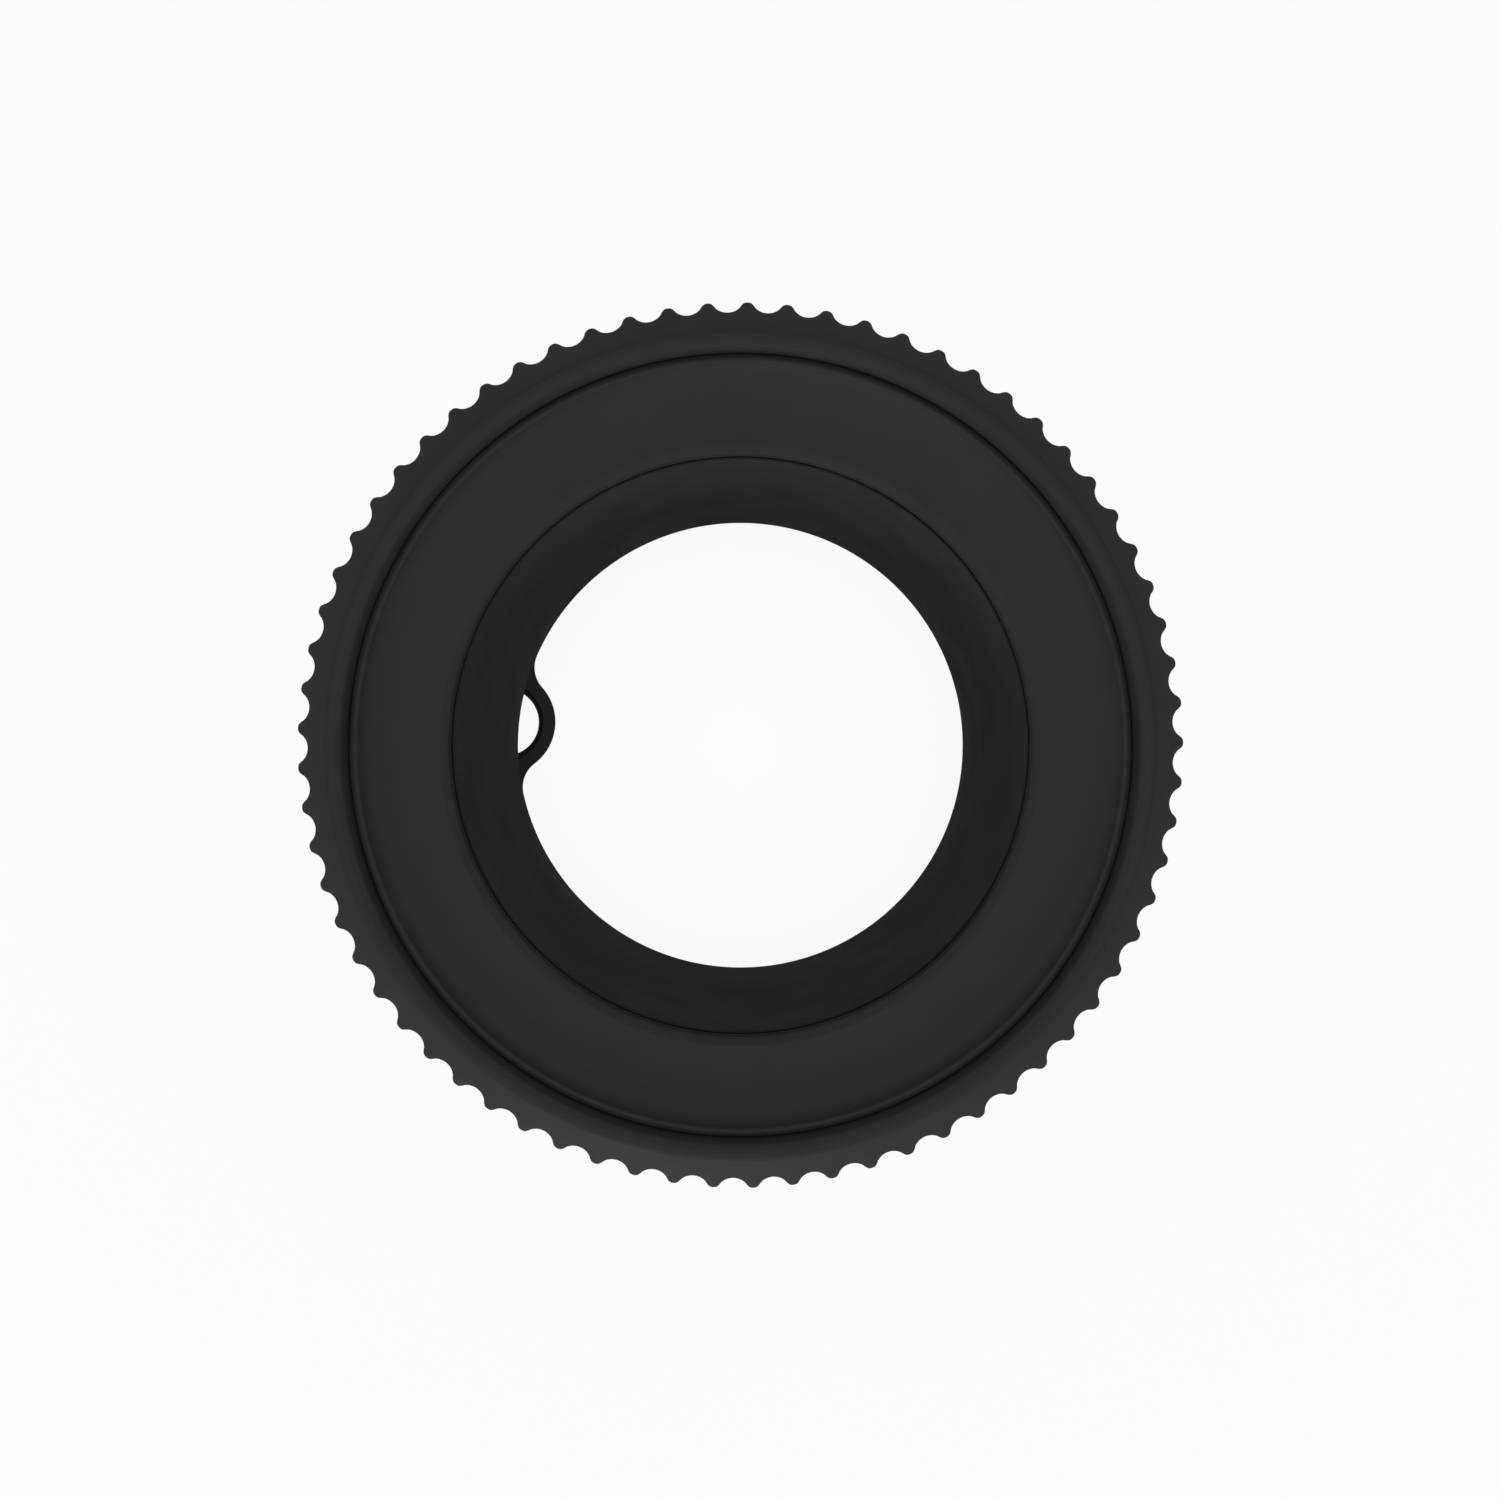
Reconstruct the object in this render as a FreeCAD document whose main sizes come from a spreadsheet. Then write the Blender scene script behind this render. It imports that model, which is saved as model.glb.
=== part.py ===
import FreeCAD, Part
import math
import os

import Sketcher

# Round-post fence insulator. A spool-shaped body slides over the post. A knurled gland nut
# screws down on the body's neck and squeezes a rubber sleeve on to the post. A ring with a
# tie eye swivels in the base. Millimetres; +Z runs up the post, z = 0 is the foot of the body.

sizes = {
    # post passage
    "postBoreR": 13.0,
    "reliefBoreR": 15.7,
    "shoulderR": 13.8,
    # spool body
    "baseR": 25.0,
    "baseTop": 8.0,
    "edgeBreak": 0.8,
    "grooveR": 18.5,
    "grooveTop": 18.5,
    "grooveSlope": 0.6,
    "grooveRound": 0.8,
    "collarR": 24.0,
    "collarTop": 23.0,
    "neckR": 16.9,
    "neckTop": 39.0,
    "neckLead": 0.6,
    "chamberR": 15.1,
    "chamberFloor": 20.4,
    "shoulderBottom": 18.4,
    "reliefTop": 16.5,
    # swivel seat in the base
    "seatR": 21.8,
    "seatCeiling": 3.45,
    "knotRoomR": 20.4,
    "knotRoomTop": 5.8,
    "snapGrooveR": 22.8,
    "snapGrooveBottom": 0.95,
    "snapGrooveTop": 2.05,
    # rubber sleeve and its seat ring
    "seatRingInnerR": 13.5,
    "seatRingOuterR": 15.0,
    "seatRingTop": 22.4,
    "sleeveOuterR": 15.0,
    "sleeveBottom": 22.44,
    "sleeveShoulder": 42.5,
    "sleeveSpigotR": 13.95,
    "sleeveConeBottom": 43.2,
    "sleeveMouthR": 13.1,
    "sleeveTop": 44.1,
    # slip washer
    "washerInnerR": 14.3,
    "washerOuterR": 16.9,
    "washerBottom": 42.6,
    "washerThick": 0.8,
    # nut core
    "skirtBottom": 24.4,
    "threadR": 17.2,
    "threadLead": 0.3,
    "coreR": 18.5,
    "coreShoulder": 44.3,
    "hubR": 17.5,
    "hubTop": 45.2,
    "beadOuterR": 17.3,
    "beadShoulder": 45.5,
    "beadR": 17.12,
    "beadTop": 45.7,
    "dishOuterR": 16.94,
    "dishOuter": 45.62,
    "dishInnerR": 13.54,
    "dishInner": 44.8,
    "lipR": 13.13,
    "lipBottom": 44.25,
    "lipConeR": 14.03,
    "lipUnder": 43.5,
    # knurled grip ring
    "gripBottom": 24.8,
    "gripInnerR": 18.55,
    "gripTipR": 20.0,
    "gripFootBreak": 0.6,
    "gripConeBottom": 44.77,
    "gripLandOuterR": 18.43,
    "gripLandInnerR": 18.12,
    "gripTop": 46.0,
    "gripRimR": 17.6,
    "gripRimBottom": 45.5,
    "gripFlangeBottom": 44.4,
    "scallopR": 0.71,
    "scallopCentreR": 20.16,
    "knurlCount": 69,
    "knurlTurn": 0.37,
    # ring with the tie eye
    "ringInnerR": 15.57,
    "ringOuterR": 20.4,
    "ringBottom": 0.7,
    "ringThick": 2.6,
    "flangeInnerR": 19.6,
    "flangeOuterR": 21.6,
    "flangeBottom": 2.2,
    "flangeThick": 1.1,
    "eyeReach": 16.69,
    "eyeBossR": 3.65,
    "eyeR": 2.35,
    "eyeBreak": 0.45,
    "eyeFillet": 2.07,
    "eyeDraft": 8.0,
    "eyeCut": 3.0,
    "eyeTurn": 174.4,
    # snap ring
    "snapInnerR": 20.7,
    "snapOuterR": 22.6,
    "snapBottom": 1.0,
    "snapThick": 1.0,
    "snapGap": 7.0,
}

document = FreeCAD.newDocument("FenceInsulator")


def make_sheet():
    sheet = document.addObject("Spreadsheet::Sheet", "Sizes")
    for row, (word, number) in enumerate(sizes.items(), start=1):
        sheet.set(f"A{row}", word)
        sheet.set(f"B{row}", str(number))
        sheet.setAlias(f"B{row}", word)
    document.recompute()


def amount(terms):
    """Number that a sum such as "baseTop - edgeBreak" stands for."""
    total = 0.0
    sign = 1.0
    for word in terms.split():
        if word in ("+", "-"):
            sign = 1.0 if word == "+" else -1.0
        else:
            total += sign * sizes[word]
    return total


def bound(terms):
    """The same sum, written for the document's sheet."""
    return " ".join("Sizes." + word if word in sizes else word for word in terms.split())


def origin_feature(body, role):
    for feature in body.Origin.OriginFeatures:
        if feature.Role == role:
            return feature
    raise RuntimeError("no origin feature " + role)


def new_body(label):
    body = document.addObject("PartDesign::Body", label)
    body.Label = label
    return body


def new_sketch(body, name, plane, height=None):
    sketch = body.newObject("Sketcher::SketchObject", name)
    sketch.AttachmentSupport = [(origin_feature(body, plane), "")]
    sketch.MapMode = "FlatFace"
    if height is not None:
        sketch.setExpression("AttachmentOffset.Base.z", bound(height))
    return sketch


def add_bound(sketch, constraint, terms):
    index = sketch.addConstraint(constraint)
    sketch.setExpression(f"Constraints[{index}]", bound(terms))


def pin_vertex(sketch, line, across, up):
    """Hold a line's first end at its distances from the sketch's origin."""
    add_bound(sketch, Sketcher.Constraint("DistanceX", -1, 1, line, 1, amount(across)), across)
    if up == "":
        sketch.addConstraint(Sketcher.Constraint("PointOnObject", line, 1, -1))
    else:
        add_bound(sketch, Sketcher.Constraint("DistanceY", -1, 1, line, 1, amount(up)), up)


def draw_outline(sketch, outline):
    """Closed outline of straight lines; each corner is a pair of sums, "" meaning zero."""
    corners = [FreeCAD.Vector(amount(across), amount(up) if up else 0.0, 0) for across, up in outline]
    count = len(corners)
    for i in range(count):
        sketch.addGeometry(Part.LineSegment(corners[i], corners[(i + 1) % count]), False)
    for i in range(count):
        sketch.addConstraint(Sketcher.Constraint("Coincident", i, 2, (i + 1) % count, 1))
    for i, (across, up) in enumerate(outline):
        pin_vertex(sketch, i, across, up)


def draw_circle(sketch, radius, reach=None):
    """Circle about the origin, or about a point at a distance along the sketch's X axis."""
    centre = FreeCAD.Vector(amount(reach) if reach else 0.0, 0, 0)
    circle = sketch.addGeometry(Part.Circle(centre, FreeCAD.Vector(0, 0, 1), amount(radius)), False)
    if reach:
        sketch.addConstraint(Sketcher.Constraint("PointOnObject", circle, 3, -1))
        add_bound(sketch, Sketcher.Constraint("DistanceX", -1, 1, circle, 3, amount(reach)), reach)
    else:
        sketch.addConstraint(Sketcher.Constraint("Coincident", circle, 3, -1, 1))
    add_bound(sketch, Sketcher.Constraint("Radius", circle, amount(radius)), radius)


def revolve(body, name, outline):
    sketch = new_sketch(body, name + "Profile", "XZ_Plane")
    draw_outline(sketch, outline)
    turned = body.newObject("PartDesign::Revolution", name)
    turned.Profile = sketch
    turned.ReferenceAxis = (sketch, ["V_Axis"])
    turned.Angle = 360
    sketch.Visibility = False
    return turned


def pad(body, name, sketch, length):
    padded = body.newObject("PartDesign::Pad", name)
    padded.Profile = sketch
    padded.setExpression("Length", bound(length))
    document.recompute()
    return padded


def cut_upward(body, name, sketch):
    """Pocket from the sketch's plane up through everything; it must take material away."""
    before = body.Shape.Volume
    pocket = body.newObject("PartDesign::Pocket", name)
    pocket.Profile = sketch
    pocket.Type = "ThroughAll"
    pocket.Reversed = True
    document.recompute()
    if not pocket.Shape.Volume < before - 1e-3:
        raise RuntimeError(name + " cuts nothing")
    return pocket


def cut_with_draft(body, name, sketch, depth, draft):
    """Pocket down from the sketch's plane that opens out by the draft angle, as a mould would."""
    document.recompute()
    volume_before = body.Shape.Volume
    straight_cut = Part.Face(sketch.Shape.Wires[0]).Area * amount("ringThick")
    pocket = body.newObject("PartDesign::Pocket", name)
    pocket.Profile = sketch
    pocket.Type = "Length"
    pocket.setExpression("Length", bound(depth))
    pocket.setExpression("TaperAngle", bound(draft))
    document.recompute()
    if not 0 < pocket.Shape.Volume < volume_before - straight_cut:
        raise RuntimeError(name + " does not open out")
    return pocket


def chamfer_round_edge(body, name, feature, radius, height, width):
    """Break the round edge of the given radius that lies at the given height."""
    edge_name = None
    for number, edge in enumerate(feature.Shape.Edges, start=1):
        round_edge = isinstance(edge.Curve, Part.Circle) and abs(edge.Curve.Radius - radius) < 1e-4
        if round_edge and abs(edge.Curve.Center.z - height) < 1e-4:
            edge_name = f"Edge{number}"
    chamfer = body.newObject("PartDesign::Chamfer", name)
    chamfer.Base = (feature, [edge_name])
    chamfer.setExpression("Size", bound(width))
    document.recompute()
    return chamfer


# Spool body: foot, wire groove, collar, threaded neck, sleeve chamber and swivel seat.
def make_insulator_body():
    body = new_body("insulator_body")
    revolve(body, "Spool", [
        ("seatR", ""),
        ("baseR - edgeBreak", ""),
        ("baseR", "edgeBreak"),
        ("baseR", "baseTop - edgeBreak"),
        ("baseR - edgeBreak", "baseTop"),
        ("grooveR + grooveRound", "baseTop + grooveSlope"),
        ("grooveR", "baseTop + grooveSlope + grooveRound"),
        ("grooveR", "grooveTop - grooveSlope - grooveRound"),
        ("grooveR + grooveRound", "grooveTop - grooveSlope"),
        ("collarR - edgeBreak", "grooveTop"),
        ("collarR", "grooveTop + edgeBreak"),
        ("collarR", "collarTop - edgeBreak"),
        ("collarR - edgeBreak", "collarTop"),
        ("neckR", "collarTop"),
        ("neckR", "neckTop - neckLead"),
        ("neckR - neckLead", "neckTop"),
        ("chamberR", "neckTop"),
        ("chamberR", "chamberFloor"),
        ("shoulderR", "chamberFloor"),
        ("shoulderR", "shoulderBottom"),
        ("reliefBoreR", "reliefTop"),
        ("reliefBoreR", "knotRoomTop"),
        ("knotRoomR", "knotRoomTop"),
        ("knotRoomR", "seatCeiling"),
        ("seatR", "seatCeiling"),
        ("seatR", "snapGrooveTop"),
        ("snapGrooveR", "snapGrooveTop"),
        ("snapGrooveR", "snapGrooveBottom"),
        ("seatR", "snapGrooveBottom"),
    ])
    return body


# Ring on the chamber's floor that the rubber sleeve is squeezed against.
def make_sleeve_seat_ring():
    body = new_body("sleeve_seat_ring")
    revolve(body, "SeatRing", [
        ("seatRingInnerR", "chamberFloor"),
        ("seatRingOuterR", "chamberFloor"),
        ("seatRingOuterR", "seatRingTop"),
        ("seatRingInnerR", "seatRingTop"),
    ])
    return body


# Rubber sleeve that grips the post; its stepped end carries the slip washer's push.
def make_grip_sleeve():
    body = new_body("grip_sleeve")
    revolve(body, "Sleeve", [
        ("postBoreR", "sleeveBottom"),
        ("sleeveOuterR", "sleeveBottom"),
        ("sleeveOuterR", "sleeveShoulder"),
        ("sleeveSpigotR", "sleeveShoulder"),
        ("sleeveSpigotR", "sleeveConeBottom"),
        ("sleeveMouthR", "sleeveTop"),
        ("postBoreR", "sleeveTop"),
    ])
    return body


# Washer that lets the nut turn without dragging the rubber round.
def make_slip_washer():
    body = new_body("slip_washer")
    revolve(body, "Washer", [
        ("washerInnerR", "washerBottom"),
        ("washerOuterR", "washerBottom"),
        ("washerOuterR", "washerBottom + washerThick"),
        ("washerInnerR", "washerBottom + washerThick"),
    ])
    return body


# Threaded cap of the nut: skirt round the neck, dished end and lip at the post.
def make_clamp_nut_core():
    body = new_body("clamp_nut_core")
    revolve(body, "Core", [
        ("threadR", "skirtBottom + threadLead"),
        ("threadR + threadLead", "skirtBottom"),
        ("coreR", "skirtBottom"),
        ("coreR", "coreShoulder"),
        ("hubR", "coreShoulder"),
        ("hubR", "hubTop"),
        ("beadOuterR", "beadShoulder"),
        ("beadR", "beadTop"),
        ("dishOuterR", "dishOuter"),
        ("dishInnerR", "dishInner"),
        ("lipR", "lipBottom"),
        ("lipConeR", "lipUnder"),
        ("threadR", "lipUnder"),
    ])
    return body


# Grip ring over the core's shoulder, with scallops all round for wet hands.
def make_knurled_grip_ring():
    body = new_body("knurled_grip_ring")
    revolve(body, "Blank", [
        ("gripInnerR", "gripBottom"),
        ("gripTipR - gripFootBreak", "gripBottom"),
        ("gripTipR", "gripBottom + gripFootBreak"),
        ("gripTipR", "gripConeBottom"),
        ("gripLandOuterR", "gripTop"),
        ("gripLandInnerR", "gripTop"),
        ("gripRimR", "gripRimBottom"),
        ("gripRimR", "gripFlangeBottom"),
        ("gripInnerR", "gripFlangeBottom"),
    ])
    document.recompute()
    sketch = new_sketch(body, "ScallopCircle", "XY_Plane")
    draw_circle(sketch, "scallopR", "scallopCentreR")
    scallop = cut_upward(body, "Scallop", sketch)
    knurl = body.newObject("PartDesign::PolarPattern", "Knurl")
    knurl.Originals = [scallop]
    knurl.Axis = (origin_feature(body, "Z_Axis"), [""])
    knurl.Angle = 360
    knurl.setExpression("Occurrences", bound("knurlCount"))
    body.Tip = knurl
    # a ridge, not a scallop, stands knurlTurn degrees past +X
    half_pitch = 180.0 / sizes["knurlCount"]
    turn = FreeCAD.Rotation(FreeCAD.Vector(0, 0, 1), sizes["knurlTurn"] + half_pitch)
    body.Placement = FreeCAD.Placement(FreeCAD.Vector(0, 0, 0), turn)
    return body


# Ring's inner edge: a long arc, and the eye's boss blended into it by a fillet on each side.
def draw_eye_edge(sketch):
    ring_radius = sizes["ringInnerR"]
    boss_radius = sizes["eyeBossR"]
    fillet_radius = sizes["eyeFillet"]
    reach = sizes["eyeReach"]
    fillet_reach = ring_radius - fillet_radius
    boss_gap = boss_radius + fillet_radius
    fillet_x = (reach ** 2 + fillet_reach ** 2 - boss_gap ** 2) / (2 * reach)
    fillet_y = math.sqrt(fillet_reach ** 2 - fillet_x ** 2)
    ring_angle = math.atan2(fillet_y, fillet_x)
    boss_angle = math.atan2(fillet_y, fillet_x - reach)
    upright = FreeCAD.Vector(0, 0, 1)

    def arc(x, y, radius, start, end):
        circle = Part.Circle(FreeCAD.Vector(x, y, 0), upright, radius)
        return sketch.addGeometry(Part.ArcOfCircle(circle, start, end), False)

    turn = 2 * math.pi
    long_arc = arc(0, 0, ring_radius, ring_angle, turn - ring_angle)
    upper = arc(fillet_x, fillet_y, fillet_radius, boss_angle - math.pi, ring_angle)
    boss = arc(reach, 0, boss_radius, boss_angle, turn - boss_angle)
    lower = arc(fillet_x, -fillet_y, fillet_radius, turn - ring_angle, turn + math.pi - boss_angle)
    joints = [(long_arc, 1, upper, 2), (upper, 1, boss, 1), (boss, 2, lower, 2), (lower, 1, long_arc, 2)]
    for first, first_end, second, second_end in joints:
        sketch.addConstraint(Sketcher.Constraint("Tangent", first, first_end, second, second_end))
    sketch.addConstraint(Sketcher.Constraint("Coincident", long_arc, 3, -1, 1))
    sketch.addConstraint(Sketcher.Constraint("PointOnObject", boss, 3, -1))
    add_bound(sketch, Sketcher.Constraint("DistanceX", -1, 1, boss, 3, reach), "eyeReach")
    add_bound(sketch, Sketcher.Constraint("Radius", long_arc, ring_radius), "ringInnerR")
    add_bound(sketch, Sketcher.Constraint("Radius", boss, boss_radius), "eyeBossR")
    for fillet in (upper, lower):
        add_bound(sketch, Sketcher.Constraint("Radius", fillet, fillet_radius), "eyeFillet")


# Ring that swivels in the base, with the eye for a tie reaching in beside the post.
def make_tie_eye_ring():
    body = new_body("tie_eye_ring")
    sketch = new_sketch(body, "RingOutline", "XY_Plane", "ringBottom")
    draw_circle(sketch, "ringOuterR")
    pad(body, "Ring", sketch, "ringThick")
    sketch = new_sketch(body, "FlangeOutline", "XY_Plane", "flangeBottom")
    draw_circle(sketch, "flangeOuterR")
    draw_circle(sketch, "flangeInnerR")
    pad(body, "Flange", sketch, "flangeThick")
    sketch = new_sketch(body, "EyeEdge", "XY_Plane", "ringBottom + ringThick")
    draw_eye_edge(sketch)
    cut_with_draft(body, "Passage", sketch, "eyeCut", "eyeDraft")
    sketch = new_sketch(body, "EyeOutline", "XY_Plane")
    draw_circle(sketch, "eyeR", "eyeReach")
    eye = cut_upward(body, "Eye", sketch)
    height = amount("ringBottom + ringThick")
    chamfer_round_edge(body, "EyeBreak", eye, sizes["eyeR"], height, "eyeBreak")
    turn = FreeCAD.Rotation(FreeCAD.Vector(0, 0, 1), sizes["eyeTurn"])
    body.Placement = FreeCAD.Placement(FreeCAD.Vector(0, 0, 0), turn)
    return body


# Split spring ring that keeps the eye ring up in its seat.
def make_eye_ring_retainer():
    band = document.addObject("Part::Cylinder", "RetainerBlank")
    band.setExpression("Radius", bound("snapOuterR"))
    band.setExpression("Height", bound("snapThick"))
    hole = document.addObject("Part::Cylinder", "RetainerHole")
    hole.setExpression("Radius", bound("snapInnerR"))
    hole.setExpression("Height", bound("snapThick"))
    ring = document.addObject("Part::Cut", "RetainerRing")
    ring.Base = band
    ring.Tool = hole
    gap = document.addObject("Part::Box", "RetainerGap")
    gap.setExpression("Length", bound("snapOuterR"))
    gap.setExpression("Width", bound("snapGap"))
    gap.setExpression("Height", bound("snapThick"))
    gap.setExpression("Placement.Base.y", "-Sizes.snapGap / 2")
    retainer = document.addObject("Part::Cut", "Retainer")
    retainer.Base = ring
    retainer.Tool = gap
    retainer.Label = "eye_ring_retainer"
    retainer.setExpression("Placement.Base.z", bound("snapBottom"))
    return retainer


def check_document(parts):
    for item in document.Objects:
        if "Invalid" in item.State or "Error" in item.State:
            raise RuntimeError(f"{item.Name} failed: {item.State}")
    for item in parts:
        shape = item.Shape
        if shape.isNull() or not shape.isValid() or len(shape.Solids) != 1:
            raise RuntimeError(item.Label + " is not one sound solid")


make_sheet()
parts = [
    make_insulator_body(),
    make_sleeve_seat_ring(),
    make_grip_sleeve(),
    make_slip_washer(),
    make_clamp_nut_core(),
    make_knurled_grip_ring(),
    make_tie_eye_ring(),
    make_eye_ring_retainer(),
]
document.recompute()
check_document(parts)
os.makedirs("parts", exist_ok=True)
for item in parts:
    item.Shape.exportStep(f"parts/{item.Label}.step")
    box = item.Shape.BoundBox
    print(f"{item.Label}: {item.Shape.Volume:.1f} mm3, z {box.ZMin:.2f} to {box.ZMax:.2f}")
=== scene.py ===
import math

import bmesh
import bpy
from mathutils import Matrix, Vector


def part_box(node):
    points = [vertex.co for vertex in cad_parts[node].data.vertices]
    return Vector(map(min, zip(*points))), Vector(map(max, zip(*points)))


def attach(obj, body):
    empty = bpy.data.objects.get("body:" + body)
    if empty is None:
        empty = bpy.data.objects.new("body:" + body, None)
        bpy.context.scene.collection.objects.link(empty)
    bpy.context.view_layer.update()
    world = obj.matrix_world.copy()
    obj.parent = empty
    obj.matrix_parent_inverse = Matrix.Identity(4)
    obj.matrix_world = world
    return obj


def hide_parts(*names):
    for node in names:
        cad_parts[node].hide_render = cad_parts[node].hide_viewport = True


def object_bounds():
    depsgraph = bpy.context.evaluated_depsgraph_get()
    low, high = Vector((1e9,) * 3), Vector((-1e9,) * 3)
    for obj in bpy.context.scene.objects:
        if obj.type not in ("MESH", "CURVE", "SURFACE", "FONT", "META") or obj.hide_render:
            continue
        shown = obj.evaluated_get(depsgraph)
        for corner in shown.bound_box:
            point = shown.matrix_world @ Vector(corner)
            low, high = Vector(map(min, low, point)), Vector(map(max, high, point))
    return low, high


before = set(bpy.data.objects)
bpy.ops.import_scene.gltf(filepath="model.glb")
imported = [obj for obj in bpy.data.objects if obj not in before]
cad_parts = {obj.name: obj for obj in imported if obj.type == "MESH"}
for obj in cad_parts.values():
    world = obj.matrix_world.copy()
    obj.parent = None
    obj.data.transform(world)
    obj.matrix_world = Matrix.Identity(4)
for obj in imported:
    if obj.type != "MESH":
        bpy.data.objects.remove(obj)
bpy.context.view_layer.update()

mm = 0.001
fullTurn = 2 * math.pi
foot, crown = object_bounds()[0].z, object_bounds()[1].z


def extent(node):
    # outer radius, bottom and top of a node, in millimetres
    low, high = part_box(node)
    return -low[0] / mm, low[2] / mm, high[2] / mm


def roundOutline(corners, arcSteps=4):
    # closed outline of (radius, height, rounding) in millimetres, with an arc at each corner
    rows = []
    count = len(corners)
    for i, (radius, height, rounding) in enumerate(corners):
        here = Vector((radius, height))
        before = Vector(corners[i - 1][:2]) - here
        after = Vector(corners[(i + 1) % count][:2]) - here
        turn = before.angle(after)
        if rounding <= 0 or abs(turn - math.pi) < 0.02:
            rows.append(here)
            continue
        setback = rounding / math.tan(turn / 2)
        setback = min(setback, 0.48 * before.length, 0.48 * after.length)
        arcRadius = setback * math.tan(turn / 2)
        bisector = (before.normalized() + after.normalized()).normalized()
        centre = here + bisector * (arcRadius / math.sin(turn / 2))
        start = here + before.normalized() * setback - centre
        end = here + after.normalized() * setback - centre
        sweep = start.angle_signed(end)
        for k in range(arcSteps + 1):
            rows.append(centre + Matrix.Rotation(-sweep * k / arcSteps, 2) @ start)
    return rows


def fineRows(rows, radius, step):
    # extra rows on the straight wall at this radius, for a thread to be cut in
    finer = []
    for i, row in enumerate(rows):
        follower = rows[(i + 1) % len(rows)]
        finer.append(row)
        onWall = abs(row.x - radius) < 0.01 and abs(follower.x - radius) < 0.01
        if onWall and abs(follower.y - row.y) > step:
            parts = math.ceil(abs(follower.y - row.y) / step)
            finer += [row.lerp(follower, k / parts) for k in range(1, parts)]
    return finer


def evenAngles(columns, seams=()):
    # columns all round, with close ones beside each moulding seam
    besideSeam = (-0.006, -0.003, -0.0015, 0.0, 0.0015, 0.003, 0.006)  # radians
    angles = {round(fullTurn * k / columns, 6) for k in range(columns)}
    for seam in seams:
        for offset in besideSeam:
            angles.add(round((seam + offset) % fullTurn, 6))
    return sorted(angles)


def around(bm, radius, angle, height):
    # a point given by its radius, its angle about +Z and its height
    x, y = radius * math.cos(angle), radius * math.sin(angle)
    return bm.verts.new((x * mm, y * mm, height * mm))


def skin(bm, rings, closed=True):
    # side faces between neighbouring rings of the same number of points
    pairs = list(zip(rings, rings[1:]))
    if closed:
        pairs.append((rings[-1], rings[0]))
    for ring, other in pairs:
        for j in range(len(ring)):
            k = (j + 1) % len(ring)
            bm.faces.new((ring[j], other[j], other[k], ring[k]))


def turnedMesh(bm, rows, angles, shape=None):
    # the outline swept round +Z; shape(angle, row) may move a point of it
    rings = []
    for angle in angles:
        places = [shape(angle, row) if shape else (row.x, row.y) for row in rows]
        rings.append([around(bm, radius, angle, height) for radius, height in places])
    skin(bm, rings)


def finishPiece(name, bm, node, material, body):
    # one smooth-shaded object that stands for the node and rides on its body
    bmesh.ops.recalc_face_normals(bm, faces=bm.faces)
    for face in bm.faces:
        face.smooth = True
    mesh = bpy.data.meshes.new(name)
    bm.to_mesh(mesh)
    bm.free()
    mesh.materials.append(material)
    piece = bpy.data.objects.new(name, mesh)
    bpy.context.scene.collection.objects.link(piece)
    evenNormals = piece.modifiers.new("evenNormals", "WEIGHTED_NORMAL")
    evenNormals.weight = 80
    evenNormals.keep_sharp = True
    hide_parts(node)
    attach(piece, body)
    return piece


def threadWave(height, angle, pitch):
    # 0 at the root and 1 at the crest of a right-hand thread
    phase = (height / pitch - angle / fullTurn) % 1.0
    crest = 1 - abs(2 * phase - 1)
    return min(1.0, max(0.0, (crest - 0.22) / 0.42))


def runOut(distance, fade):
    # 0 at a thread's end and 1 once the fade length is past
    return min(1.0, max(0.0, distance / fade))


def newFinish(name):
    material = bpy.data.materials.new(name)
    material.use_nodes = True
    nodes = material.node_tree.nodes
    return material, nodes, material.node_tree.links, nodes["Principled BSDF"]


def addNoise(nodes, links, place, scale, detail=3.0, roughness=0.5):
    noise = nodes.new("ShaderNodeTexNoise")
    noise.inputs["Scale"].default_value = scale
    noise.inputs["Detail"].default_value = detail
    noise.inputs["Roughness"].default_value = roughness
    links.new(place, noise.inputs["Vector"])
    return noise.outputs["Fac"]


def addRange(nodes, links, value, low, high, start=0.3, end=0.7):
    ranged = nodes.new("ShaderNodeMapRange")
    ranged.inputs["From Min"].default_value = start
    ranged.inputs["From Max"].default_value = end
    ranged.inputs["To Min"].default_value = low
    ranged.inputs["To Max"].default_value = high
    links.new(value, ranged.inputs["Value"])
    return ranged.outputs["Result"]


def addTint(nodes, links, value, dark, light):
    tint = nodes.new("ShaderNodeMix")
    tint.data_type = "RGBA"
    tint.inputs["A"].default_value = (*dark, 1)
    tint.inputs["B"].default_value = (*light, 1)
    links.new(value, tint.inputs["Factor"])
    return tint.outputs["Result"]


def addBump(nodes, links, height, distance, strength, normal=None):
    bump = nodes.new("ShaderNodeBump")
    bump.inputs["Distance"].default_value = distance
    bump.inputs["Strength"].default_value = strength
    links.new(height, bump.inputs["Height"])
    if normal:
        links.new(normal, bump.inputs["Normal"])
    return bump.outputs["Normal"]


mouldedLook = {
    "dark": (0.0165, 0.0165, 0.0166),
    "light": (0.0195, 0.0195, 0.0196),
    "rough": (0.56, 0.64),
    "specular": 0.11,
    "cloudScale": 420,     # soft patches about 2 mm across
    "cloudDepth": 0.000006,
    "grainScale": 9000,    # spark-eroded grain about a tenth of a millimetre
    "grainDepth": 0.000010,
}


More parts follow.
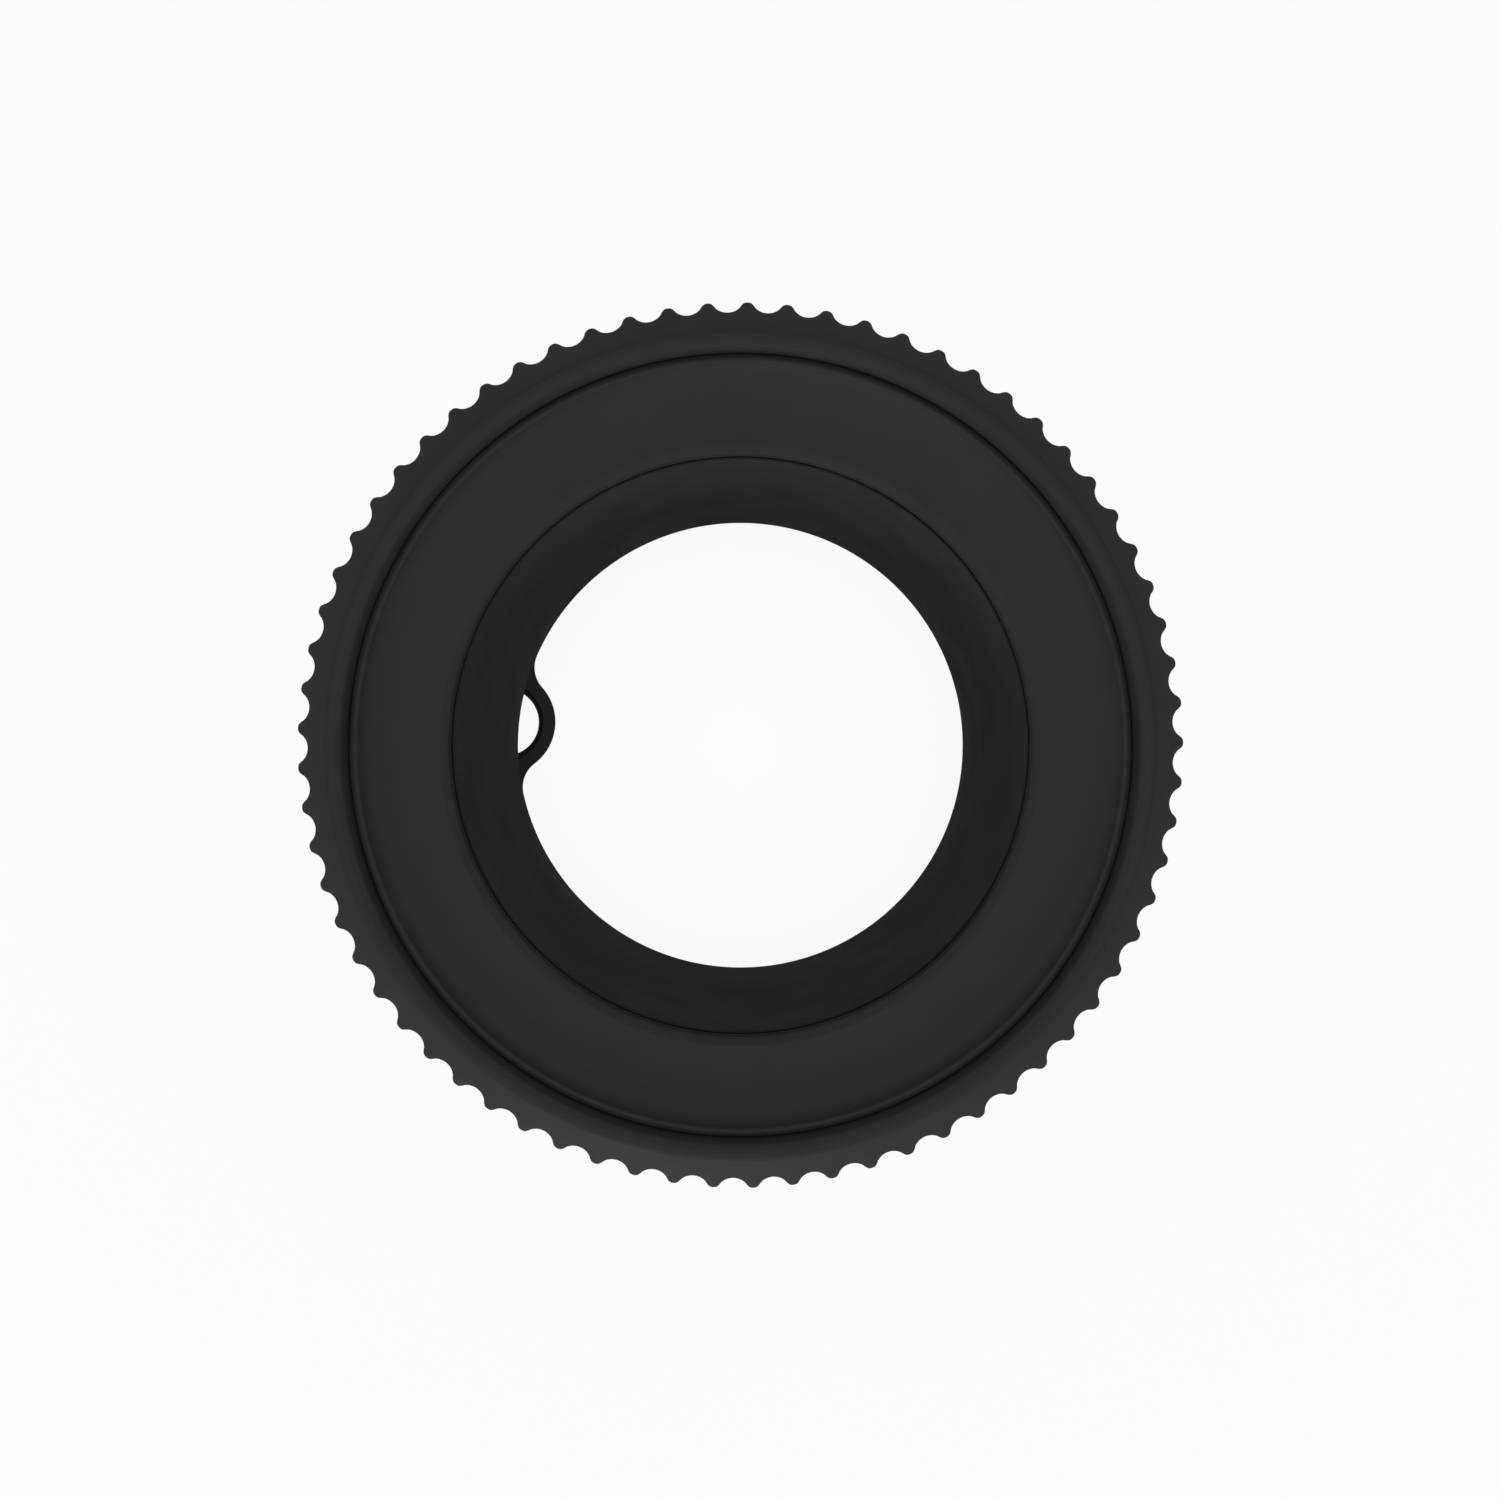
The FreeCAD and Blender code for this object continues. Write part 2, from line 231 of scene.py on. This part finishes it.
def makeMouldedBlack(name="mouldedBlack", look=mouldedLook):
    material, nodes, links, shader = newFinish(name)
    place = nodes.new("ShaderNodeTexCoord").outputs["Object"]
    clouds = addNoise(nodes, links, place, look["cloudScale"], 4.0, 0.55)
    grain = addNoise(nodes, links, place, look["grainScale"], 2.0, 0.6)
    tint = addTint(nodes, links, clouds, look["dark"], look["light"])
    links.new(tint, shader.inputs["Base Color"])
    links.new(addRange(nodes, links, clouds, *look["rough"]), shader.inputs["Roughness"])
    coarse = addBump(nodes, links, clouds, look["cloudDepth"], 0.25)
    fine = addBump(nodes, links, grain, look["grainDepth"], 0.5, coarse)
    links.new(fine, shader.inputs["Normal"])
    shader.inputs["Specular IOR Level"].default_value = look["specular"]
    return material


# painted light: the eye ring's black moulding has a base colour about five times lighter than the
# rest, standing in for the light that hardly reaches the lug at the bottom of the bore
eyePaintedLightLook = {
    **mouldedLook,
    "dark": (0.086, 0.086, 0.0863),
    "light": (0.096, 0.096, 0.0963),
    "rough": (0.74, 0.82),
    "specular": 0.02,
}
slipLook = {**mouldedLook, "rough": (0.34, 0.44), "specular": 0.2, "grainDepth": 0.000006}

rubberLook = {
    "dark": (0.0185, 0.0185, 0.0186),
    "light": (0.0205, 0.0205, 0.0206),
    "rough": (0.80, 0.88),
    "specular": 0.08,
    "bloomScale": 260,
    "skinScale": 5200,
    "skinDepth": 0.000010,
}


def makeRubberBlack(name="rubberBlack", look=rubberLook):
    material, nodes, links, shader = newFinish(name)
    place = nodes.new("ShaderNodeTexCoord").outputs["Object"]
    bloom = addNoise(nodes, links, place, look["bloomScale"], 5.0, 0.6)
    surface = addNoise(nodes, links, place, look["skinScale"], 2.0)
    tint = addTint(nodes, links, bloom, look["dark"], look["light"])
    links.new(tint, shader.inputs["Base Color"])
    links.new(addRange(nodes, links, bloom, *look["rough"]), shader.inputs["Roughness"])
    links.new(addBump(nodes, links, surface, look["skinDepth"], 0.4), shader.inputs["Normal"])
    shader.inputs["Specular IOR Level"].default_value = look["specular"]
    return material


springLook = {
    "dark": (0.30, 0.30, 0.31),
    "light": (0.42, 0.42, 0.43),
    "rough": (0.24, 0.38),
    "layScale": 1500,      # drawing lines along the wire
    "layStretch": 14,
    "layDepth": 0.000006,
}


def makeSpringSteel(name="springSteel", look=springLook):
    material, nodes, links, shader = newFinish(name)
    place = nodes.new("ShaderNodeTexCoord").outputs["Object"]
    stretch = nodes.new("ShaderNodeMapping")
    stretch.inputs["Scale"].default_value = (1, 1, look["layStretch"])
    links.new(place, stretch.inputs["Vector"])
    lay = addNoise(nodes, links, stretch.outputs["Vector"], look["layScale"], 4.0, 0.7)
    tint = addTint(nodes, links, lay, look["dark"], look["light"])
    links.new(tint, shader.inputs["Base Color"])
    links.new(addRange(nodes, links, lay, *look["rough"]), shader.inputs["Roughness"])
    links.new(addBump(nodes, links, lay, look["layDepth"], 0.4), shader.inputs["Normal"])
    shader.inputs["Metallic"].default_value = 1.0
    return material


mouldedBlack = makeMouldedBlack()
# the eye ring's finish is the black moulding made lighter: painted light for the shaded lug
eyePaintedLightBlack = makeMouldedBlack("eyePaintedLightBlack", eyePaintedLightLook)
slipBlack = makeMouldedBlack("slipBlack", slipLook)
rubberBlack = makeRubberBlack()
springSteel = makeSpringSteel()
print("finishes made")


spoolSizes = {
    "footTop": 8.0,
    "grooveRadius": 18.5,
    "collarRadius": 24.0,
    "collarBottom": 18.5,
    "collarTop": 23.0,
    "neckRadius": 16.9,
    "chamberRadius": 15.1,
    "chamberFloor": 20.4,
    "passageRadius": 13.8,
    "recessRadius": 15.7,
    "recessBottom": 5.8,
    "recessTop": 16.5,
    "ringSeatRadius": 20.4,
    "flangeSeatRadius": 21.8,
    "flangeSeatTop": 3.45,
    "snapGrooveRadius": 22.8,
    "snapGroove": (0.95, 2.05),
    "edge": 0.8,
    "threadPitch": 3.0,
    "threadDepth": 0.62,
    "threadLow": 24.6,
    "threadHigh": 38.6,
    "threadFade": 0.7,
    "threadRow": 0.16,     # height between the rows that the thread is cut in
    "seams": (math.pi / 2, 3 * math.pi / 2),
    "seamHeight": 0.05,
    "seamWidth": 0.0016,   # radians
    "columns": 288,
}


def makeSpoolBody():
    size = spoolSizes
    base, bottom, top = extent("insulator_body")
    groove, collar, neck = size["grooveRadius"], size["collarRadius"], size["neckRadius"]
    footTop, collarBottom, collarTop = size["footTop"], size["collarBottom"], size["collarTop"]
    seat, snapGroove, edge = size["flangeSeatRadius"], size["snapGroove"], size["edge"]
    corners = [
        (seat, bottom, 0.15),
        (seat + edge, bottom, 0.1),
        (base - edge, bottom, 0.5),
        (base, bottom + edge, 0.6),
        (base, footTop - edge, 0.6),
        (base - edge, footTop, 0.6),
        (groove + edge, footTop + 0.6, 0.9),
        (groove, footTop + 1.4, 0.9),
        (groove, collarBottom - 1.4, 0.9),
        (groove + edge, collarBottom - 0.6, 0.9),
        (collar - edge, collarBottom, 0.6),
        (collar, collarBottom + edge, 0.6),
        (collar, collarTop - edge, 0.6),
        (collar - edge, collarTop, 0.6),
        (neck, collarTop, 0.5),
        (neck, top - 0.6, 0.25),
        (neck - 0.6, top, 0.2),
        (size["chamberRadius"], top, 0.2),
        (size["chamberRadius"], size["chamberFloor"], 0.15),
        (size["passageRadius"], size["chamberFloor"], 0.2),
        (size["passageRadius"], size["chamberFloor"] - 2.0, 0.3),
        (size["recessRadius"], size["recessTop"], 0.5),
        (size["recessRadius"], size["recessBottom"], 0.3),
        (size["ringSeatRadius"], size["recessBottom"], 0.3),
        (size["ringSeatRadius"], size["flangeSeatTop"], 0.12),
        (seat, size["flangeSeatTop"], 0.12),
        (seat, snapGroove[1], 0.05),
        (size["snapGrooveRadius"], snapGroove[1], 0.05),
        (size["snapGrooveRadius"], snapGroove[0], 0.05),
        (seat, snapGroove[0], 0.05),
    ]
    rows = fineRows(roundOutline(corners), neck, size["threadRow"])

    def shape(angle, row):
        radius, height = row.x, row.y
        if radius > neck - 0.7 and height > size["threadLow"]:
            wave = threadWave(height, angle, size["threadPitch"])
            wave *= runOut(size["threadHigh"] - height, size["threadFade"])  # root size at the mouth
            cut = size["threadDepth"] * (1 - wave)
            cut *= runOut(height - size["threadLow"], size["threadFade"])
            radius = min(radius, neck - cut)
        outside = radius > groove - 0.5 and 0.5 < height < collarTop - 0.3
        inSeat = height < 5 and radius < base - 1.5
        if outside and not inSeat and radius < base - 0.06:
            for seam in size["seams"]:
                gap = (angle - seam) / size["seamWidth"]
                radius += size["seamHeight"] * math.exp(-gap * gap)
        return radius, height

    bm = bmesh.new()
    turnedMesh(bm, rows, evenAngles(size["columns"], size["seams"]), shape)
    return finishPiece("spoolBody", bm, "insulator_body",
                       mouldedBlack, "insulator")


makeSpoolBody()
print("spool body made")


sleeveSizes = {
    "bore": 13.0,
    "mouth": 13.1,
    "shoulder": 42.5,
    "tipOuter": 13.95,
    "tipBend": 43.2,
    "columns": 288,
}


def makeSleeve():
    size = sleeveSizes
    outer, bottom, top = extent("grip_sleeve")
    corners = [
        (size["bore"], bottom, 0.12),
        (outer, bottom, 0.3),
        (outer, size["shoulder"], 0.25),
        (size["tipOuter"], size["shoulder"], 0.15),
        (size["tipOuter"], size["tipBend"], 0.2),
        (size["mouth"], top, 0.04),
        (size["bore"], top, 0.04),
    ]
    bm = bmesh.new()
    turnedMesh(bm, roundOutline(corners, 5), evenAngles(size["columns"]))
    return finishPiece("gripSleeve", bm, "grip_sleeve", rubberBlack, "insulator")


makeSleeve()
print("rubber sleeve made")


seatRingSizes = {"inner": 13.5, "edge": 0.25, "columns": 240}
washerSizes = {"inner": 14.3, "edge": 0.12, "columns": 240}


def makeFlatRing(name, node, body, size):
    outer, bottom, top = extent(node)
    inner, edge = size["inner"], size["edge"]
    corners = [
        (inner, bottom, edge), (outer, bottom, edge),
        (outer, top, edge), (inner, top, edge),
    ]
    bm = bmesh.new()
    turnedMesh(bm, roundOutline(corners), evenAngles(size["columns"]))
    return finishPiece(name, bm, node, slipBlack, body)


makeFlatRing("sleeveSeatRing", "sleeve_seat_ring", "insulator", seatRingSizes)
makeFlatRing("slipWasher", "slip_washer", "washer", washerSizes)
print("seat ring and washer made")


coreSizes = {
    "threadRadius": 17.2,
    "threadDepth": 0.5,
    "threadPitch": 3.0,
    "threadLow": 25.0,
    "threadHigh": 38.5,
    "threadFade": 0.8,
    "threadRow": 0.16,
    "outer": 18.5,
    "shoulder": 44.3,
    "hub": 17.53,
    "beadCrest": 17.19,
    "dishOuter": 16.98,
    "dishInner": 14.3,
    "dishFloor": 44.73,
    "dishRise": 0.67,
    "lip": 13.13,
    "lipTop": 44.75,
    "lipBottom": 44.22,
    "coneBottom": 43.5,
    "columns": 288,
}


def makeNutCore():
    size = coreSizes
    bottom, top = extent("clamp_nut_core")[1:]
    bore, hub, crest, lip = size["threadRadius"], size["hub"], size["beadCrest"], size["lip"]
    dish = []
    for k in range(9):  # the slope steepens from the flat floor out to the bead
        share = 1 - k / 8
        radius = size["dishInner"] + share * (size["dishOuter"] - size["dishInner"])
        dish.append((radius, size["dishFloor"] + size["dishRise"] * share ** 2, 0))
    corners = [
        (bore, bottom + 0.3, 0.1),
        (bore + 0.3, bottom, 0.1),
        (size["outer"], bottom, 0.2),
        (size["outer"], size["shoulder"], 0.3),
        (hub, size["shoulder"], 0.05),
        (hub, top - 0.33, 0.08),
        (hub - 0.09, top - 0.21, 0.15),
        (crest + 0.13, top - 0.12, 0.15),
        (crest, top - 0.08, 0.1),
        (crest - 0.09, top - 0.14, 0.08),
        *dish,
        (lip + 0.47, size["lipTop"], 0.3),
        (lip, size["lipTop"] - 0.18, 0.34),
        (lip, size["lipBottom"], 0.04),
        (lip + 0.9, size["coneBottom"], 0.2),
        (bore, size["coneBottom"], 0.3),
    ]
    rows = fineRows(roundOutline(corners, 6), bore, size["threadRow"])

    def shape(angle, row):
        radius, height = row.x, row.y
        if abs(radius - bore) < 0.02 and size["threadLow"] < height < size["threadHigh"]:
            wave = threadWave(height + size["threadPitch"] / 2, angle, size["threadPitch"])
            wave *= runOut(height - size["threadLow"], size["threadFade"])
            wave *= runOut(size["threadHigh"] - height, size["threadFade"])
            radius -= size["threadDepth"] * wave
        return radius, height

    bm = bmesh.new()
    turnedMesh(bm, rows, evenAngles(size["columns"]), shape)
    return finishPiece("nutCore", bm, "clamp_nut_core", mouldedBlack, "nut")


makeNutCore()
print("nut core made")


gripSizes = {
    "ridges": 69,
    "ridgeTurn": math.radians(0.37),
    "columnsPerRidge": 20,
    "tip": 20.0,
    "tipRound": 0.28,
    "scallop": 0.71,
    "scallopCentre": 20.16,
    "landOuter": 18.43,
    "landInner": 18.1,
    "coneDrop": 0.783,     # height lost for each millimetre outwards
    "inner": 18.55,
    "rim": 17.55,
    "rimBottom": 44.4,
    "bottomChamfer": 0.6,
}


def ridgeRadius(angle):
    # outer radius at this angle: rounded ridge tip, then the scallop beside it
    size = gripSizes
    pitch = fullTurn / size["ridges"]
    tip, tipRound, scallop = size["tip"], size["tipRound"], size["scallop"]
    away = abs((angle - size["ridgeTurn"] + pitch / 2) % pitch - pitch / 2) * tip
    centreAway = size["scallopCentre"] * math.sin(pitch / 2)
    centreUp = size["scallopCentre"] * math.cos(pitch / 2)
    roundUp = tip - tipRound
    roundAway = centreAway - math.sqrt((scallop + tipRound) ** 2 - (centreUp - roundUp) ** 2)
    meeting = roundAway + (centreAway - roundAway) * tipRound / (scallop + tipRound)
    if away <= roundAway:
        return tip
    if away <= meeting:
        return roundUp + math.sqrt(tipRound ** 2 - (away - roundAway) ** 2)
    return centreUp - math.sqrt(scallop ** 2 - (centreAway - away) ** 2)


def makeGripRing():
    size = gripSizes
    bottom, top = extent("knurled_grip_ring")[1:]
    inner, rim, chamfer = size["inner"], size["rim"], size["bottomChamfer"]
    columns = size["ridges"] * size["columnsPerRidge"]
    rings = []
    bm = bmesh.new()
    for i in range(columns):
        angle = fullTurn * i / columns + size["ridgeTurn"]
        outer = ridgeRadius(angle)
        corners = [
            (inner, bottom, 0.15),
            (outer - chamfer, bottom, 0.15),
            (outer, bottom + chamfer, 0.3),
            (outer, top - (outer - size["landOuter"]) * size["coneDrop"], 0.1),
            (size["landOuter"], top, 0.5),
            (size["landInner"], top, 0.4),
            (rim + 0.24, top - 0.1, 0.3),
            (rim + 0.08, top - 0.34, 0.2),
            (rim, top - 0.54, 0.1),
            (rim, size["rimBottom"], 0.1),
            (inner, size["rimBottom"], 0.1),
        ]
        rings.append([around(bm, row.x, angle, row.y) for row in roundOutline(corners, 5)])
    skin(bm, rings)
    return finishPiece("gripRing", bm, "knurled_grip_ring",
                       mouldedBlack, "nut")


makeGripRing()
print("grip ring made")


eyeSizes = {
    "ringInner": 15.57,
    "ringOuter": 20.4,
    "flangeBottom": 2.2,
    "reach": 16.69,
    "boss": 3.65,
    "fillet": 2.07,
    "draft": 0.14,         # millimetres outwards for each millimetre down
    "eye": 2.35,
    "eyeBreak": (0.45, 1.1),
    "turn": math.radians(174.4),
    "edge": 0.1,
    "outerSteps": 240,
    "eyeSteps": 72,
}


def arcPoints(centre, radius, start, end, steps):
    points = []
    for k in range(steps + 1):
        angle = start + (end - start) * k / steps
        x, y = radius * math.cos(angle), radius * math.sin(angle)
        points.append((centre[0] + x, centre[1] + y))
    return points


def eyeEdgePoints(out):
    # the ring's inner edge moved out into the ring: a long arc, a fillet, the boss, a fillet
    size = eyeSizes
    ringInner, boss, fillet = size["ringInner"] + out, size["boss"] - out, size["fillet"] + out
    filletReach, bossGap = ringInner - fillet, boss + fillet
    x = (size["reach"] ** 2 + filletReach ** 2 - bossGap ** 2) / (2 * size["reach"])
    y = math.sqrt(filletReach ** 2 - x ** 2)
    ringAngle = math.atan2(y, x)
    bossAngle = math.atan2(y, x - size["reach"])
    points = arcPoints((0, 0), ringInner, ringAngle, fullTurn - ringAngle, 180)
    points += arcPoints((x, -y), fillet, -ringAngle, math.pi - bossAngle, 14)[1:]
    points += arcPoints((size["reach"], 0), boss, fullTurn - bossAngle, bossAngle, 40)[1:]
    points += arcPoints((x, y), fillet, bossAngle - math.pi, ringAngle, 14)[1:-1]
    return points


def makeTieEyeRing():
    size = eyeSizes
    flange, bottom, top = extent("tie_eye_ring")
    ring, flangeBottom, edge = size["ringOuter"], size["flangeBottom"], size["edge"]
    breakWide, breakDeep = size["eyeBreak"]
    bm = bmesh.new()

    def stack(rows, outline):
        # loops of one outline, from the bottom up; rows are (how far out, height)
        loops = []
        for out, height in rows:
            loops.append([bm.verts.new((x * mm, y * mm, height * mm)) for x, y in outline(out)])
        skin(bm, loops, closed=False)
        return loops[0], loops[-1]

    def circle(centre, radius, steps):
        return arcPoints(centre, radius, 0, fullTurn, steps)[:-1]

    outside = [
        (ring - edge, bottom), (ring, bottom + edge), (ring, flangeBottom),
        (flange - edge, flangeBottom), (flange, flangeBottom + edge),
        (flange, top - edge), (flange - edge, top),
    ]
    slope = size["draft"] * (top - bottom)
    inside = [
        (slope + edge, bottom), (slope + 0.3 * edge, bottom + 0.3 * edge), (slope, bottom + edge),
        (0, top - edge), (0.3 * edge, top - 0.3 * edge), (edge, top),
    ]
    eyeWall = [
        (edge, bottom), (0, bottom + edge), (0, top - breakDeep - edge),
        (0.12 * breakWide, top - 0.85 * breakDeep), (0.5 * breakWide, top - 0.4 * breakDeep),
        (0.85 * breakWide, top - 0.1 * breakDeep), (breakWide, top),
    ]
    ends = [
        stack(outside, lambda radius: circle((0, 0), radius, size["outerSteps"])),
        stack(inside, eyeEdgePoints),
        stack(eyeWall, lambda out: circle((size["reach"], 0), size["eye"] + out, size["eyeSteps"])),
    ]
    for level in (0, 1):
        rimEdges = []
        for loops in ends:
            loop = loops[level]
            rimEdges += [bm.edges.get((loop[k - 1], loop[k])) for k in range(len(loop))]
        for rimEdge in rimEdges:
            rimEdge.smooth = False
        bmesh.ops.triangle_fill(bm, use_beauty=True, use_dissolve=False, edges=rimEdges)
    turn = Matrix.Rotation(size["turn"], 3, "Z")
    bmesh.ops.rotate(bm, verts=bm.verts, cent=(0, 0, 0), matrix=turn)
    return finishPiece("tieEyeRing", bm, "tie_eye_ring", eyePaintedLightBlack, "eye_ring")


makeTieEyeRing()
print("tie eye ring made")


snapSizes = {
    "inner": 20.7,
    "gap": 7.0,
    "edge": 0.12,
    "steps": 220,
}


def makeSnapRing():
    size = snapSizes
    outer, bottom, top = extent("eye_ring_retainer")
    inner, edge, steps = size["inner"], size["edge"], size["steps"]
    section = roundOutline([
        (inner, bottom, edge), (outer, bottom, edge),
        (outer, top, edge), (inner, top, edge),
    ])
    halfGap = math.asin(size["gap"] / 2 / inner)
    bm = bmesh.new()
    rings = []
    for k in range(steps + 1):
        angle = halfGap + (fullTurn - 2 * halfGap) * k / steps
        rings.append([around(bm, row.x, angle, row.y) for row in section])
    skin(bm, rings, closed=False)
    bm.faces.new(rings[0])
    bm.faces.new(list(reversed(rings[-1])))
    return finishPiece("snapRing", bm, "eye_ring_retainer",
                       springSteel, "insulator")


makeSnapRing()
print("snap ring made")


floorLook = {
    "colour": (0.82, 0.82, 0.82),
    "halfWidth": 1.5,
    "drop": 0.02,          # millimetres below the foot, so that the two faces do not meet
    "fadeLength": 0.5,
    "whitesWithPaintedBoreLight": ((0.0, 0.98), (0.045, 0.91), (0.3, 0.94), (1.0, 1.0)),  # (share of the fade, white); the floor straight under the bore is painted whiter, painted light over the shade seen through the hole
}


def seenDirectly(nodes, links):
    # 1 for what the camera, a reflection or a clear piece shows, 0 for light that falls on things
    path = nodes.new("ShaderNodeLightPath")
    seen = path.outputs["Is Camera Ray"]
    for ray in ("Is Glossy Ray", "Is Transmission Ray"):
        either = nodes.new("ShaderNodeMath")
        either.operation = "MAXIMUM"
        links.new(seen, either.inputs[0])
        links.new(path.outputs[ray], either.inputs[1])
        seen = either.outputs[0]
    return seen


def makeFloor():
    look = floorLook
    material, nodes, links, shader = newFinish("paleFloor")
    place = nodes.new("ShaderNodeTexCoord").outputs["Object"]
    mottling = addNoise(nodes, links, place, 40, 3.0)
    darkTone = tuple(0.96 * channel for channel in look["colour"])
    tint = addTint(nodes, links, mottling, darkTone, look["colour"])
    links.new(tint, shader.inputs["Base Color"])
    shader.inputs["Roughness"].default_value = 0.8
    shader.inputs["Specular IOR Level"].default_value = 0.2
    away = nodes.new("ShaderNodeVectorMath")
    away.operation = "LENGTH"
    links.new(place, away.inputs[0])
    # ramp of the camera-seen white: whiter at the centre, which is painted light on the shaded floor
    # under the bore, then a dip near the foot and pure white far out
    fade = nodes.new("ShaderNodeValToRGB")
    stops = fade.color_ramp.elements
    for share, white in look["whitesWithPaintedBoreLight"][1:-1]:
        stops.new(share)
    for stop, (share, white) in zip(stops, look["whitesWithPaintedBoreLight"]):
        stop.position = share
        stop.color = (white, white, white, 1)
    share = addRange(nodes, links, away.outputs["Value"], 0, 1, 0, look["fadeLength"])
    links.new(share, fade.inputs["Fac"])
    part = nodes.new("ShaderNodeMath")
    part.operation = "MULTIPLY"
    links.new(seenDirectly(nodes, links), part.inputs[0])
    links.new(fade.outputs["Color"], part.inputs[1])
    glow = nodes.new("ShaderNodeEmission")
    glow.inputs["Strength"].default_value = 1.0
    blend = nodes.new("ShaderNodeMixShader")
    links.new(part.outputs[0], blend.inputs["Fac"])
    links.new(shader.outputs[0], blend.inputs[1])
    links.new(glow.outputs[0], blend.inputs[2])
    links.new(blend.outputs[0], nodes["Material Output"].inputs["Surface"])
    bm = bmesh.new()
    bmesh.ops.create_grid(bm, x_segments=8, y_segments=8, size=look["halfWidth"])
    bmesh.ops.translate(bm, verts=bm.verts, vec=(0, 0, foot - look["drop"] * mm))
    mesh = bpy.data.meshes.new("floor")
    bm.to_mesh(mesh)
    bm.free()
    mesh.materials.append(material)
    floor = bpy.data.objects.new("floor", mesh)
    bpy.context.scene.collection.objects.link(floor)


makeFloor()
print("floor made")


lightLook = {
    "roomStrength": 0.3,
    "overhead": {"place": (0.0, -0.05, 0.65), "width": 0.75, "power": 2.2},
    "frontLow": {"place": (-0.12, -0.62, 0.24), "width": 0.45, "power": 2.4},
}


def makeRoom():
    world = bpy.data.worlds.new("softRoom")
    bpy.context.scene.world = world
    world.use_nodes = True
    nodes, links = world.node_tree.nodes, world.node_tree.links
    seen = seenDirectly(nodes, links)
    strength = addRange(nodes, links, seen, lightLook["roomStrength"], 1.0, 0, 1)
    background = nodes["Background"]
    background.inputs["Color"].default_value = (1, 1, 1, 1)
    links.new(strength, background.inputs["Strength"])


def addSoftLight(name):
    look = lightLook[name]
    light = bpy.data.lights.new(name, "AREA")
    light.shape = "DISK"
    light.size = look["width"]
    light.energy = look["power"]
    lamp = bpy.data.objects.new(name, light)
    lamp.location = look["place"]
    aim = Vector((0, 0, crown * 0.6)) - Vector(look["place"])
    lamp.rotation_euler = aim.to_track_quat("-Z", "Y").to_euler()
    bpy.context.scene.collection.objects.link(lamp)


makeRoom()
addSoftLight("overhead")
addSoftLight("frontLow")
print("lights made")


cameraPlace = {
    "aboveCrown": 74.0,
    "lens": 40.0,
    "sensor": 36.0,
    "shift": (0.0064, -0.0032),
}


def makeCamera():
    camera = bpy.data.cameras.new("lookDown")
    camera.sensor_width = cameraPlace["sensor"]
    camera.lens = cameraPlace["lens"]
    camera.shift_x, camera.shift_y = cameraPlace["shift"]
    camera.clip_start = 0.001
    camera.clip_end = 10.0
    viewer = bpy.data.objects.new("lookDown", camera)
    viewer.location = (0, 0, crown + cameraPlace["aboveCrown"] * mm)
    bpy.context.scene.collection.objects.link(viewer)
    bpy.context.scene.camera = viewer


makeCamera()
bpy.context.scene.view_settings.view_transform = "Standard"
print("camera made")
